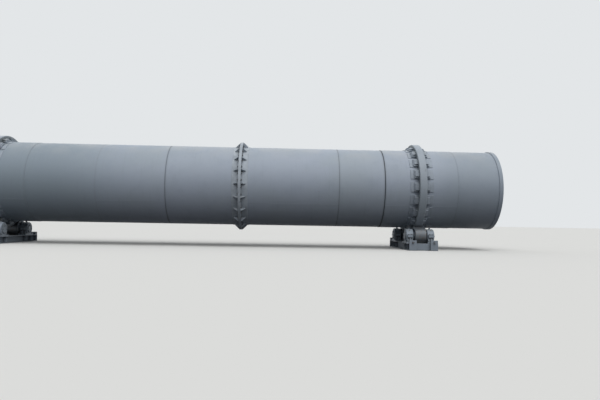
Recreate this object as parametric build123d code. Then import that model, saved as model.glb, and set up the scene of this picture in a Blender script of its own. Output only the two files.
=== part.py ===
from build123d import *
import math
import os

# A rotary drum dryer: a welded drum that turns on two riding rings, each carried by a pair of
# support rollers on a base frame. Millimetres. X runs along the drum, with the feed end at -X,
# Y across it and Z up, from the ground under the middle of the drum.

# Drum shell
drum_length = 16000.0
shell_radius = 1100.0
shell_wall = 14.0
tyre_course_wall = 20.0
tyre_course_length = 2000.0
joint_x = 860.0
feed_makeup_length = 1970.0
discharge_makeup_length = 1240.0
weld_gap = 0.3

# Bolted joint between the two halves of the drum
flange_height = 140.0
flange_thickness = 36.0
band_length = 210.0
band_thickness = 8.0
gusset_count = 20
gusset_length = 130.0
gusset_thickness = 12.0
gusset_toe = 14.0
gusset_top_inset = 8.0

# Riding rings and the chairs they sit on
tyre_overhang = 2220.0
tyre_width = 200.0
tyre_section = 115.0
tyre_chamfer = 14.0
chair_count = 16
chair_height = 59.0
chair_length = 640.0
chair_width = 220.0
stop_width = 110.0
stop_height = 62.0
stop_end_height = 40.0
stop_top_length = 60.0
stop_clearance = 1.0
stop_toe = 6.0

# Ends of the drum
end_ring_width = 100.0
end_ring_thickness = 20.0
dam_opening_radius = 750.0
dam_thickness = 14.0

# Spiral flights at the feed end
flight_count = 8
flight_length = 1000.0
flight_height = 200.0
flight_thickness = 10.0
flight_twist = 60.0
flight_setback = 20.0

# Lifters along the rest of the drum
lifter_sections = 5
lifter_count = 12
lifter_height = 180.0
lifter_lip = 90.0
lifter_lip_rise = 20.0
lifter_thickness = 8.0
lifter_section_gap = 60.0
lifter_start_gap = 80.0
lifter_end_gap = 500.0
inside_gap = 0.6

# Support rollers
roller_radius = 250.0
roller_width = 300.0
roller_chamfer = 8.0
roller_rim = 55.0
roller_web = 90.0
hub_radius = 115.0
hub_length = 316.0
journal_radius = 60.0
journal_length = 160.0
roller_angle = 30.0
rolling_gap = 0.3
journal_clearance = 0.05

# Bearing housings, split at the height of the shaft
housing_spacing = 570.0
housing_width = 200.0
housing_radius = 190.0
housing_shoulder = 22.0
housing_height = 190.0
housing_foot_length = 520.0
housing_foot_thickness = 40.0
housing_plinth_length = 400.0
housing_plinth_width = 150.0
housing_bore_depth = 170.0
housing_rib = 22.0
ear_length = 470.0
ear_width = 130.0
ear_thickness = 32.0
seal_ring_radius = 98.0
seal_ring_thickness = 12.0
cover_radius = 118.0
cover_thickness = 16.0
lifting_boss_radius = 28.0
lifting_boss_height = 14.0

# Base frames
beam_length = 2600.0
beam_height = 190.0
beam_flange_width = 200.0
beam_flange = 16.0
beam_web = 12.0
end_plate = 14.0
channel_flange = 75.0
channel_wall = 10.0
end_channel_setback = 60.0
inner_channel_y = 200.0
stiffener = 12.0
stiffener_offset = 180.0
base_bolt_radius = 13.0
base_bolt_inset = 150.0
base_bolt_edge = 40.0

# Screws that set the housings across the base
bracket_thickness = 40.0
bracket_height = 84.0
bracket_width = 190.0
bracket_gusset = 12.0
bracket_gusset_length = 80.0
screw_radius = 15.0
screw_hole_gap = 0.3
screw_height = 26.0
screw_stand_out = 18.0
screw_head = 46.0
screw_head_height = 20.0

# Places worked out from the sizes above
shell_bore = shell_radius - shell_wall
tyre_course_radius = shell_bore + tyre_course_wall
flange_radius = shell_radius + flange_height
tyre_bore = tyre_course_radius + chair_height
tyre_radius = tyre_bore + tyre_section
tyre_x = drum_length / 2 - tyre_overhang
tyre_xs = {"feed": -tyre_x, "discharge": tyre_x}
roller_reach = tyre_radius + rolling_gap + roller_radius
roller_y = roller_reach * math.sin(math.radians(roller_angle))
roller_z = beam_height + housing_height
drum_z = roller_z + roller_reach * math.cos(math.radians(roller_angle))
sides = {"front": -1, "rear": 1}
drum_axis = Pos(0, 0, drum_z)
beam_offset = housing_spacing / 2
screw_z = beam_height + screw_height


def turned(outline, angle=360.0):
    """A piece turned about the X axis from its half section, given as (x, radius) points.
    A part turn is centred on +Z."""
    section = make_face(Plane.XZ * Polyline(*outline, close=True))
    return Rot(X=-angle / 2) * revolve(section, Axis.X, angle)


def ring_outline(start, end, inner, outer):
    """The half section of a plain ring."""
    return [(start, inner), (end, inner), (end, outer), (start, outer)]


def plate_across(outline, thickness):
    """A plate that stands across the X axis, centred on x = 0, from its (y, z) points."""
    section = make_face(Plane.YZ * Polyline(*outline, close=True))
    return extrude(section, amount=thickness / 2, both=True)


def block(low, high):
    """A box between two corners."""
    size = [top - bottom for bottom, top in zip(low, high)]
    return Pos(*low) * Box(*size, align=(Align.MIN, Align.MIN, Align.MIN))


def around(piece, count, first=0.0):
    """Copies of a piece spaced evenly about the X axis."""
    return [Rot(X=first + index * 360 / count) * piece for index in range(count)]


def joined(pieces):
    """Several overlapping pieces as one solid."""
    return pieces[0].fuse(*pieces[1:]).clean()


def separate(pieces):
    """Several solids that don't touch, as one sub-part."""
    solids = [solid for piece in pieces for solid in piece.solids()]
    return Compound(solids)


def shell_courses():
    """The rolled plates of the drum, end to end. The courses under the riding rings are thicker
    on the outside, so that the bore runs straight through."""
    half = drum_length / 2
    half_course = tyre_course_length / 2
    feed_plates_start = tyre_xs["feed"] + half_course
    feed_plates_end = joint_x - feed_makeup_length
    feed_middle = (feed_plates_start + feed_plates_end) / 2
    discharge_start = tyre_xs["discharge"] - half_course
    discharge_makeup = discharge_start - discharge_makeup_length
    seams = [
        ("feed_end_course", -half, shell_radius),
        ("feed_tyre_course", tyre_xs["feed"] - half_course, tyre_course_radius),
        ("feed_shell_course", feed_plates_start, shell_radius),
        ("middle_shell_course", feed_middle, shell_radius),
        ("feed_joint_course", feed_plates_end, shell_radius),
        ("discharge_joint_course", joint_x, shell_radius),
        ("discharge_shell_course", discharge_makeup, shell_radius),
        ("discharge_tyre_course", discharge_start, tyre_course_radius),
        ("discharge_end_course", tyre_xs["discharge"] + half_course, shell_radius),
    ]
    ends = [start for _, start, _ in seams[1:]] + [half]
    return {
        name: turned(ring_outline(start, end, shell_bore, radius))
        for (name, start, radius), end in zip(seams, ends)
    }


def joint_flange(side):
    """One half of the bolted joint: a flange welded to a stiffening band, with gussets between.
    The side is -1 for the feed half and 1 for the discharge half."""
    band_radius = shell_radius + weld_gap + band_thickness
    back = flange_thickness
    outline = [
        (0, shell_radius + weld_gap),
        (band_length, shell_radius + weld_gap),
        (band_length, band_radius),
        (back, band_radius),
        (back, flange_radius),
        (0, flange_radius),
    ]
    root = band_radius - band_thickness / 2
    gusset = Polyline(
        (back / 2, 0, root),
        (back + gusset_length, 0, root),
        (back + gusset_length, 0, band_radius + gusset_toe),
        (back + gusset_toe, 0, flange_radius - gusset_top_inset),
        (back / 2, 0, flange_radius - gusset_top_inset),
        close=True,
    )
    plate = extrude(make_face(gusset), amount=gusset_thickness / 2, both=True)
    flange = joined([turned(outline)] + around(plate, gusset_count))
    if side < 0:
        flange = mirror(flange, Plane.YZ)
    return Pos(joint_x, 0, 0) * flange


def tyre():
    """A riding ring with chamfered corners."""
    half = tyre_width / 2
    cut = tyre_chamfer
    return turned([
        (-half, tyre_bore),
        (half, tyre_bore),
        (half, tyre_radius - cut),
        (half - cut, tyre_radius),
        (-half + cut, tyre_radius),
        (-half, tyre_radius - cut),
    ])


def tyre_chairs():
    """The curved pads that centre a riding ring on the shell. A sloped stop block at each end of a
    pad keeps the ring from walking along the drum."""
    top = tyre_bore - weld_gap
    bottom = tyre_course_radius + weld_gap
    half = chair_length / 2
    pad_angle = math.degrees(chair_width / top)
    stop_angle = math.degrees(stop_width / top)
    pad = turned(ring_outline(-half, half, bottom, top), pad_angle)
    stop_face = tyre_width / 2 + stop_clearance
    stop_root = (top + bottom) / 2
    stop = turned([
        (stop_face, stop_root),
        (half - stop_toe, stop_root),
        (half - stop_toe, top + stop_end_height),
        (stop_face + stop_top_length, top + stop_height),
        (stop_face, top + stop_height),
    ], stop_angle)
    chair = joined([pad, stop, mirror(stop, Plane.YZ)])
    return separate(around(chair, chair_count, first=180 / chair_count))


def end_ring(side):
    """The stiffening ring round the outside of one end of the drum."""
    end = side * drum_length / 2
    inner = shell_radius + weld_gap
    low, high = sorted([end, end - side * end_ring_width])
    return turned(ring_outline(low, high, inner, inner + end_ring_thickness))


def dam_ring():
    """The flat ring inside the feed end that keeps material from spilling back."""
    start = -drum_length / 2
    return turned(ring_outline(start, start + dam_thickness, dam_opening_radius, shell_bore - weld_gap))


def spiral_flights():
    """Screw blades inside the feed end, which push the wet material along to the lifters."""
    outer = shell_bore - inside_gap
    section = Pos(outer - flight_height / 2, 0) * Rectangle(flight_height, flight_thickness)
    blade = Solid.extrude_linear_with_rotation(
        section.face(), (0, 0, 0), (0, 0, flight_length), flight_twist
    )
    start = -drum_length / 2 + dam_thickness + flight_setback
    return separate(around(Pos(start, 0, 0) * Rot(Y=90) * blade, flight_count))


def lifter_outline():
    """The (y, z) section of one lifter: a leg that stands on the shell and a folded lip."""
    root = shell_bore - inside_gap
    tip = root - lifter_height
    rise = math.radians(lifter_lip_rise)
    along = (math.cos(rise), math.sin(rise))
    inner = lifter_thickness * (1 + along[1]) / along[0]
    fold_z = tip + lifter_thickness * along[0] + inner * along[1]
    lip_end = (lifter_lip * along[0], tip + lifter_lip * along[1])
    lip_top = (lip_end[0] - lifter_thickness * along[1], lip_end[1] + lifter_thickness * along[0])
    return [(0, root), (0, tip), lip_end, lip_top, (lifter_thickness, fold_z), (lifter_thickness, root)]


def lifters():
    """The rows of lifters in equal sections along the drum. Each section is turned by half a space
    from the one before it."""
    start = -drum_length / 2 + dam_thickness + flight_setback + flight_length + lifter_start_gap
    pitch = (drum_length / 2 - lifter_end_gap - start + lifter_section_gap) / lifter_sections
    length = pitch - lifter_section_gap
    lifter = plate_across(lifter_outline(), length)
    sections = {}
    for index in range(lifter_sections):
        middle = start + index * pitch + length / 2
        turn = (index % 2) * 180 / lifter_count
        row = around(Pos(middle, 0, 0) * lifter, lifter_count, first=turn)
        sections[f"lifter_section_{index + 1}"] = separate(row)
    return sections


def support_roller():
    """A forged roller with recessed faces, on a stepped shaft whose journals run in the housings."""
    rim_half = roller_width / 2
    web_half = roller_web / 2
    hub_half = hub_length / 2
    shaft_half = housing_spacing / 2 - housing_width / 2 - seal_ring_thickness
    journal_half = shaft_half + journal_length
    rim_bore = roller_radius - roller_rim
    half = [
        (journal_half, 0),
        (journal_half, journal_radius),
        (hub_half, journal_radius),
        (hub_half, hub_radius),
        (web_half, hub_radius + roller_chamfer),
        (web_half, rim_bore - roller_chamfer),
        (rim_half, rim_bore),
        (rim_half, roller_radius - roller_chamfer),
        (rim_half - roller_chamfer, roller_radius),
    ]
    return turned(half + [(-x, radius) for x, radius in reversed(half)])


def housing_body():
    """The turned middle of a bearing housing, with rounded shoulders and its bore still solid."""
    half = housing_width / 2
    shoulder = housing_shoulder
    return turned([
        (-half, 0),
        (-half, housing_radius - shoulder),
        (-half + shoulder / 2, housing_radius - shoulder / 4),
        (-half + shoulder, housing_radius),
        (half - shoulder, housing_radius),
        (half - shoulder / 2, housing_radius - shoulder / 4),
        (half, housing_radius - shoulder),
        (half, 0),
    ])


def housing_halves(out):
    """The lower housing and its cap, round a shaft along X at the origin. The closed end faces
    out, which is -1 or 1 along X."""
    half = housing_width / 2
    seal = turned(ring_outline(-half - seal_ring_thickness, -half, 0, seal_ring_radius))
    cover = turned(ring_outline(half, half + cover_thickness, 0, cover_radius))
    bore_start = -half - seal_ring_thickness
    bore_radius = journal_radius + journal_clearance
    bore = turned(ring_outline(bore_start, -half + housing_bore_depth, 0, bore_radius))
    ears = Box(ear_width, ear_length, 2 * ear_thickness)
    whole = joined([housing_body(), seal, cover, ears])
    if out < 0:
        whole = mirror(whole, Plane.YZ)
        bore = mirror(bore, Plane.YZ)
    reach = housing_foot_length
    above = block((-reach, -reach, 0), (reach, reach, reach))
    below = block((-reach, -reach, -reach), (reach, reach, 0))
    boss_base = housing_radius - lifting_boss_height
    boss = Pos(0, 0, boss_base) * extrude(Circle(lifting_boss_radius), amount=2 * lifting_boss_height)
    foot = block(
        (-half, -housing_foot_length / 2, -housing_height),
        (half, housing_foot_length / 2, housing_foot_thickness - housing_height),
    )
    waist = housing_radius - housing_shoulder
    plinth = plate_across([
        (-housing_plinth_length / 2, housing_foot_thickness - housing_height),
        (housing_plinth_length / 2, housing_foot_thickness - housing_height),
        (waist, 0),
        (-waist, 0),
    ], housing_plinth_width)
    rib = plate_across([
        (-ear_length / 2, housing_foot_thickness - housing_height),
        (ear_length / 2, housing_foot_thickness - housing_height),
        (ear_length / 2 - ear_thickness, -ear_thickness),
        (-ear_length / 2 + ear_thickness, -ear_thickness),
    ], housing_rib)
    lower = joined([whole & below, foot, plinth, rib]) - bore
    cap = joined([whole & above, boss]) - bore
    return lower, cap


def base_beam():
    """One I-beam of a base frame, along Y with its foot on z = 0, with end plates, stiffeners under
    the housing feet and the brackets that hold the adjusting screws."""
    half = beam_length / 2
    edge = beam_flange_width / 2
    beam = [
        block((-edge, -half, 0), (edge, half, beam_flange)),
        block((-edge, -half, beam_height - beam_flange), (edge, half, beam_height)),
        block((-beam_web / 2, -half, 0), (beam_web / 2, half, beam_height)),
    ]
    for side in sides.values():
        low, high = sorted([side * half, side * (half - end_plate)])
        beam.append(block((-edge, low, 0), (edge, high, beam_height)))
        for place in (-stiffener_offset, stiffener_offset):
            middle = side * roller_y + place
            rib_low = (-edge + beam_web, middle - stiffener / 2, 0)
            rib_high = (edge - beam_web, middle + stiffener / 2, beam_height)
            beam.append(block(rib_low, rib_high))
    return beam


def screw_bracket():
    """The bracket at the +Y end of a beam, drilled for its adjusting screw, with a gusset on each
    side of the screw."""
    outer = beam_length / 2
    inner = outer - bracket_thickness
    half = bracket_width / 2
    root = beam_height - beam_flange / 2
    top = beam_height + bracket_height
    plate = block((-half, inner, root), (half, outer, top))
    gusset_section = make_face(Plane.YZ * Polyline(
        (inner + bracket_thickness / 2, root),
        (inner - bracket_gusset_length, root),
        (inner - bracket_gusset_length, beam_height + bracket_gusset),
        (inner, top - bracket_gusset),
        (inner + bracket_thickness / 2, top - bracket_gusset),
        close=True,
    ))
    gusset = extrude(gusset_section, amount=bracket_gusset / 2, both=True)
    offset = half - bracket_gusset
    hole = Pos(0, outer, screw_z) * Rot(X=90) * Cylinder(screw_radius + screw_hole_gap, 3 * bracket_thickness)
    return joined([plate, Pos(-offset, 0, 0) * gusset, Pos(offset, 0, 0) * gusset]) - hole


def cross_channel(web_side):
    """A channel between the beams, with its web on the -Y or +Y side of y = 0."""
    reach = beam_offset
    low, high = sorted([0, -web_side * channel_flange])
    web_low, web_high = sorted([0, -web_side * channel_wall])
    return [
        block((-reach, low, 0), (reach, high, channel_wall)),
        block((-reach, low, beam_height - channel_wall), (reach, high, beam_height)),
        block((-reach, web_low, 0), (reach, web_high, beam_height)),
    ]


def base_frame():
    """The welded frame under one riding ring: two beams across the drum, tied by channels just
    inside their ends and either side of the middle, and drilled for its foundation bolts."""
    pieces = []
    for x in (-beam_offset, beam_offset):
        place = Pos(x, 0, 0)
        bracket = screw_bracket()
        pieces += [place * piece for piece in base_beam()]
        pieces += [place * bracket, place * mirror(bracket, Plane.XZ)]
    end_channel_y = beam_length / 2 - end_channel_setback
    for side in sides.values():
        for y in (side * end_channel_y, side * inner_channel_y):
            pieces += [Pos(0, y, 0) * piece for piece in cross_channel(side)]
    frame = joined(pieces)
    bolt_x = beam_offset + beam_flange_width / 2 - base_bolt_edge
    bolt_y = beam_length / 2 - base_bolt_inset
    hole = Cylinder(base_bolt_radius, 2 * beam_flange + 2)
    holes = [Pos(x, y, 0) * hole for x in (-bolt_x, bolt_x) for y in (-bolt_y, bolt_y)]
    return frame - holes


def adjusting_screw():
    """A screw through the +Y bracket, with its head outside, pushing on the housing's foot."""
    tip = roller_y + housing_foot_length / 2
    outside = beam_length / 2 + screw_stand_out
    shank = Circle(screw_radius)
    head = RegularPolygon(screw_head / 2, 6, major_radius=False)
    along = Plane(origin=(0, tip, screw_z), x_dir=(1, 0, 0), z_dir=(0, 1, 0))
    head_plane = along.offset(outside - tip)
    return joined([
        extrude(along * shank, amount=outside - tip + screw_head_height / 2),
        extrude(head_plane * head, amount=screw_head_height),
    ])


def drum_parts():
    """Every sub-part that turns with the drum."""
    parts = shell_courses()
    parts["feed_joint_flange"] = joint_flange(-1)
    parts["discharge_joint_flange"] = joint_flange(1)
    for end, x in tyre_xs.items():
        parts[f"{end}_tyre"] = Pos(x, 0, 0) * tyre()
        parts[f"{end}_tyre_chairs"] = Pos(x, 0, 0) * tyre_chairs()
    parts["feed_end_ring"] = end_ring(-1)
    parts["discharge_end_ring"] = end_ring(1)
    parts["feed_dam_ring"] = dam_ring()
    parts["feed_spiral_flights"] = spiral_flights()
    parts.update(lifters())
    return {name: drum_axis * part for name, part in parts.items()}


def station_parts(end):
    """Every sub-part of the support station under one riding ring."""
    middle = Pos(tyre_xs[end], 0, 0)
    parts = {f"{end}_base_frame": middle * base_frame()}
    roller = support_roller()
    halves = {out: housing_halves(out) for out in (-1, 1)}
    for side, sign in sides.items():
        shaft = middle * Pos(0, sign * roller_y, roller_z)
        parts[f"{end}_{side}_roller"] = shaft * roller
        lower = [shaft * Pos(out * beam_offset, 0, 0) * pair[0] for out, pair in halves.items()]
        caps = [shaft * Pos(out * beam_offset, 0, 0) * pair[1] for out, pair in halves.items()]
        parts[f"{end}_{side}_housings"] = separate(lower)
        parts[f"{end}_{side}_bearing_caps"] = separate(caps)
    screw = adjusting_screw()
    screws = [Pos(x, 0, 0) * turned_screw
              for x in (-beam_offset, beam_offset)
              for turned_screw in (screw, mirror(screw, Plane.XZ))]
    parts[f"{end}_adjusting_screws"] = middle * separate(screws)
    return parts


parts = drum_parts()
for station_end in tyre_xs:
    parts.update(station_parts(station_end))

os.makedirs("parts", exist_ok=True)
for name, part in parts.items():
    export_step(part, f"parts/{name}.step")
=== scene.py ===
import math

import bpy
from mathutils import Matrix, Vector


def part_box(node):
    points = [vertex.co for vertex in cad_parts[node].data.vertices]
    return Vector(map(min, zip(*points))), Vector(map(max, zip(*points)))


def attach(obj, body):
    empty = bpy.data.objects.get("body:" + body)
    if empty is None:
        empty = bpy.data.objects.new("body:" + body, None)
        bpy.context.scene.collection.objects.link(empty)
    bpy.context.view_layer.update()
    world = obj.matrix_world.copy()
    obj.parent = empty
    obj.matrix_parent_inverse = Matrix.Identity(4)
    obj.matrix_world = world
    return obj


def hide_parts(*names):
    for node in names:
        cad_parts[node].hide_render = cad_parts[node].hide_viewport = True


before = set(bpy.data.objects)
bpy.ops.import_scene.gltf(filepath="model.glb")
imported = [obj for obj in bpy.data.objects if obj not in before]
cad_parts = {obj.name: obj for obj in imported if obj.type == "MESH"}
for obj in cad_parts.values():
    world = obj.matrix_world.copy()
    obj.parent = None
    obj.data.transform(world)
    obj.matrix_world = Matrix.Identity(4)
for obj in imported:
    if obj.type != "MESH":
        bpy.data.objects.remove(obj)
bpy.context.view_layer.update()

# Metres. The drum's axis runs along X at the height of the two riding rings, and the object
# stands on z = 0. Degrees about the drum start on top and grow towards the camera.


# Places read from the frame

def middle(node):
    """The centre of a part's box."""
    low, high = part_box(node)
    return (low + high) / 2


ENDS = ("feed", "discharge")
SIDES = ("front", "rear")
DRUM_Z = middle("feed_tyre").z
JOINT_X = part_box("feed_joint_flange")[1].x
TYRE_XS = {end: middle(f"{end}_tyre").x for end in ENDS}
TYRE_X = TYRE_XS["discharge"]
TYRE_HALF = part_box("discharge_tyre")[1].x - TYRE_X
TYRE_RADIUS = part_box("discharge_tyre")[1].z - DRUM_Z
ROLLERS = {(end, side): middle(f"{end}_{side}_roller") for end in ENDS for side in SIDES}
ROLLER_Y = ROLLERS["feed", "rear"].y
SHAFT_Z = ROLLERS["feed", "rear"].z
SHELL_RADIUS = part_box("middle_shell_course")[1].z - DRUM_Z
TYRE_COURSE_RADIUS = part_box("feed_tyre_course")[1].z - DRUM_Z
COURSES = ("feed_end_course", "feed_tyre_course", "feed_shell_course", "middle_shell_course",
           "feed_joint_course", "discharge_joint_course", "discharge_shell_course",
           "discharge_tyre_course", "discharge_end_course")

# Sizes that repeat the part's own
SHELL_BORE = 1.086
FLANGE_THICKNESS = 0.036
BAND_LENGTH = 0.210
BAND_RADIUS = SHELL_RADIUS + 0.0083
GUSSETS = 20
GUSSET_END = FLANGE_THICKNESS + 0.130
GUSSET_TOP = SHELL_RADIUS + 0.128
GUSSET_THICKNESS = 0.012
CHAIR_TOP = TYRE_COURSE_RADIUS + 0.0587
LIFTERS = 12
LIFTER_ROOT = SHELL_BORE - 0.0006
LIFTER_THICKNESS = 0.008
FLIGHTS = 8
FLIGHT_THICKNESS = 0.010
FLIGHT_TWIST = 60.0
ROLLER_RADIUS = 0.250
JOURNAL_RADIUS = 0.060
BEAM_OFFSET = 0.285
BEAM_HALF = 1.300
BEAM_HEIGHT = 0.190
BEAM_FLANGE = 0.016
BEAM_WEB = 0.012
END_PLATE = 0.014
STIFFENER = 0.012
STIFFENER_OFFSET = 0.180
CHANNEL_YS = (0.200, 1.240)
CHANNEL_WALL = 0.010
FOOT_TOP = BEAM_HEIGHT + 0.040
EAR_THICKNESS = 0.032
HOUSING_HALF = 0.100
COVER_THICKNESS = 0.016
SEAL_THICKNESS = 0.012
BOSS_TOP = SHAFT_Z + 0.204
SCREW_Z = BEAM_HEIGHT + 0.026
BRACKET_INNER = BEAM_HALF - 0.040
BRACKET_HALF = 0.095

# The ring welds, with how dark the dirt has settled along each
SEAM_DIRT = {"feed_tyre_course": 0.2, "feed_shell_course": 0.1, "middle_shell_course": 0.08,
             "feed_joint_course": 0.5, "discharge_shell_course": 0.35,
             "discharge_tyre_course": 0.95, "discharge_end_course": 0.12}
SEAMS = [(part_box(course)[0].x, dirt) for course, dirt in SEAM_DIRT.items()]


def about_drum(x, radius, degrees, aside=0.0):
    """A point at a radius from the drum's axis. Aside is a distance along the circle."""
    turn = math.radians(degrees) + aside / radius
    return Vector((x, -radius * math.sin(turn), DRUM_Z + radius * math.cos(turn)))


# Nodes and colours

# The arithmetic and the smooth fade that the trees use, as a kind of node and its settings. A fade
# goes from To Min at one value to To Max at the other, which may be the smaller one.
ADD = ("ShaderNodeMath", {"operation": "ADD"})
SUBTRACT = ("ShaderNodeMath", {"operation": "SUBTRACT"})
MULTIPLY = ("ShaderNodeMath", {"operation": "MULTIPLY"})
MULTIPLY_ADD = ("ShaderNodeMath", {"operation": "MULTIPLY_ADD"})
DIVIDE = ("ShaderNodeMath", {"operation": "DIVIDE"})
ABSOLUTE = ("ShaderNodeMath", {"operation": "ABSOLUTE"})
MAXIMUM = ("ShaderNodeMath", {"operation": "MAXIMUM"})
FADE = ("ShaderNodeMapRange", {"interpolation_type": "SMOOTHSTEP"})


def colour(hex_value):
    """An sRGB hex value as linear red, green, blue and alpha."""
    channels = [int(hex_value[i:i + 2], 16) / 255 for i in (1, 3, 5)]
    return [c / 12.92 if c <= 0.04045 else ((c + 0.055) / 1.055) ** 2.4 for c in channels] + [1.0]


def connect(tree, node, inputs):
    """Gives a node its inputs. A socket is linked, a node is linked by its first output, and
    anything else is the input's value."""
    for name, value in inputs.items():
        if isinstance(value, bpy.types.Node):
            value = value.outputs[0]
        if isinstance(value, bpy.types.NodeSocket):
            tree.links.new(value, node.inputs[name])
        else:
            node.inputs[name].default_value = value


def add(tree, kind, settings=None, inputs=None):
    """Adds one node with its settings and inputs."""
    node = tree.nodes.new(kind)
    for name, value in (settings or {}).items():
        setattr(node, name, value)
    connect(tree, node, inputs or {})
    return node


def new_material(name):
    """An empty material with its surface shader, and the object coordinates its patterns read."""
    material = bpy.data.materials.new(name)
    material.use_nodes = True
    tree = material.node_tree
    shader = tree.nodes["Principled BSDF"]
    where = add(tree, "ShaderNodeTexCoord").outputs["Object"]
    return material, tree, shader, where


def over(tree, below, above, *amounts):
    """Lays one colour over another, by the product of the amounts, each from 0 to 1."""
    amount = amounts[0]
    for factor in amounts[1:]:
        amount = add(tree, *MULTIPLY, {0: amount, 1: factor})
    return add(tree, "ShaderNodeMix", {"data_type": "RGBA"}, {0: amount, 6: below, 7: above}).outputs[2]


def grainy(tree, where, grain, detail=4, stretch=(1, 1, 1)):
    """An uneven pattern from 0 to 1 with a grain in millimetres, drawn out where stretch is small."""
    mapping = add(tree, "ShaderNodeMapping", inputs={"Vector": where, "Scale": stretch})
    return add(tree, "ShaderNodeTexNoise", inputs={
        "Vector": mapping, "Scale": 1000 / grain, "Detail": detail, "Roughness": 0.55})


def patches(tree, where, grain, span, most=1.0, detail=4, stretch=(1, 1, 1)):
    """Patches with a grain in millimetres. They rise from 0 to the most while an uneven pattern
    passes through the span, so a high span gives few patches and a short one hard edges."""
    pattern = grainy(tree, where, grain, detail, stretch)
    return add(tree, *FADE, {"Value": pattern, "From Min": span[0], "From Max": span[1], "To Max": most})


def dusted(tree, below, dust, level, uneven):
    """Lays dust over a colour where the surface faces up, by an uneven amount. There is none where
    the normal's Z is under the level."""
    normal = add(tree, "ShaderNodeNewGeometry").outputs["Normal"]
    up = add(tree, "ShaderNodeSeparateXYZ", inputs={"Vector": normal}).outputs["Z"]
    lying = add(tree, *FADE, {"Value": up, "From Min": level, "From Max": 0.98})
    return over(tree, below, dust, lying, uneven)


def near_edge(tree, reach):
    """How near a point is to an edge, from 0 to 1: where a rounded edge would turn the normal."""
    rounded = add(tree, "ShaderNodeBevel", {"samples": 6}, {"Radius": reach})
    normal = add(tree, "ShaderNodeNewGeometry").outputs["Normal"]
    turn = add(tree, "ShaderNodeVectorMath", {"operation": "DOT_PRODUCT"}, {0: rounded, 1: normal})
    return add(tree, *FADE, {"Value": turn.outputs["Value"], "From Min": 0.985, "From Max": 0.80})


def shade_in_corner(tree, reach, most):
    """How deep a point lies in a corner, from 0 to the most, read from ambient occlusion: a colour laid by
    it is painted shade.
    """
    open_sky = add(tree, "ShaderNodeAmbientOcclusion", {"samples": 8}, {"Distance": reach})
    return add(tree, *FADE, {
        "Value": open_sky.outputs["AO"], "From Min": 0.85, "From Max": 0.35, "To Max": most})


def radius_from(tree, where, y, z):
    """The distance of a point from an axis along X. Y counts the same on both sides of 0."""
    across = add(tree, "ShaderNodeVectorMath", {"operation": "MULTIPLY"}, {0: where, 1: (0, 1, 1)})
    one_side = add(tree, "ShaderNodeVectorMath", {"operation": "ABSOLUTE"}, {0: across})
    away = add(tree, "ShaderNodeVectorMath", {"operation": "DISTANCE"}, {0: one_side, 1: (0, y, z)})
    return away.outputs["Value"]


def from_ring(tree, along):
    """How far a point lies along the drum from the middle of the nearer riding ring."""
    past = add(tree, *SUBTRACT, {0: add(tree, *ABSOLUTE, {0: along}), 1: TYRE_X})
    return add(tree, *ABSOLUTE, {0: past})


# How far the dirt and painted shade beside the riding rings reach, how much they wander, and their share at
# the discharge end
RING_DIRT_AND_SHADE_REACH = (0.27, 0.17)
RING_DIRT_AND_SHADE_WANDER = 0.10
RING_DIRT_AND_SHADE_AT_DISCHARGE = 0.25


def dirt_and_shade_by_rings(tree, where, tone, most):
    """Lays dirt and painted shade beside the riding rings over a colour, most of it at the feed end."""
    along = add(tree, "ShaderNodeSeparateXYZ", inputs={"Vector": where}).outputs["X"]
    beside = add(tree, *MULTIPLY_ADD, {
        0: grainy(tree, where, grain=60), 1: RING_DIRT_AND_SHADE_WANDER, 2: from_ring(tree, along)})
    gone, full = RING_DIRT_AND_SHADE_REACH
    dirt = add(tree, *FADE, {"Value": beside, "From Min": gone, "From Max": full, "To Max": most})
    share = add(tree, *FADE, {
        "Value": along, "From Min": 1.0, "From Max": -1.0, "To Min": RING_DIRT_AND_SHADE_AT_DISCHARGE})
    return over(tree, tone, colour("#666e74"), dirt, share)


MARK_SPACING = 0.012
MARK_WANDER = 0.1
WAVE_RATE = 20


def turning_marks(tree, where):
    """The rings that a lathe's tool leaves about the X axis. They are about 1 mm apart on the real
    thing, which is too fine to show, so they are drawn 12 mm apart. The pattern is a sine of X times
    its scale and the wave rate, and it wanders a little about every 0.1 m."""
    scale = 2 * math.pi / (WAVE_RATE * MARK_SPACING)
    marks = add(tree, "ShaderNodeTexWave", {"wave_type": "BANDS", "bands_direction": "X"}, {
        "Vector": where, "Scale": scale, "Distortion": 1.2, "Detail": 2.0,
        "Detail Scale": 1 / (MARK_WANDER * scale)})
    return marks.outputs["Fac"]


def rusty_scale(tree, where):
    """The colour of hot-rolled plate left bare: blue-grey mill scale breaking into brown rust."""
    rust = patches(tree, where, grain=200, span=(0.42, 0.62), detail=8)
    pits = patches(tree, where, grain=15, span=(0.45, 0.75), most=0.6, detail=3)
    return over(tree, over(tree, colour("#4d5053"), colour("#6b4a33"), rust), colour("#2f2c29"), pits)


# Materials

PRIMER_SHEEN = 0.35
BATCHES = (("#84929c", -1.0, -4.5, 0.75), ("#8d99a3", 5.9, 6.8, 0.5))

# The dirt beside a ring weld, broad and faint or narrow and dark: its colour, how far from the weld
# it is gone and where it is full, and how much of it there is
SEAM_LINES = (("#6d747c", 0.060, 0.010, 0.35), ("#363c44", 0.017, 0.009, 1.0))

# How far from a turned face the finish beside it is gone and where that of the face is full
BORE_EDGE = (0.004, 0.002)
RING_EDGE = (0.004, 0.001)
TREAD_EDGE = (0.010, 0.006)


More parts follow.
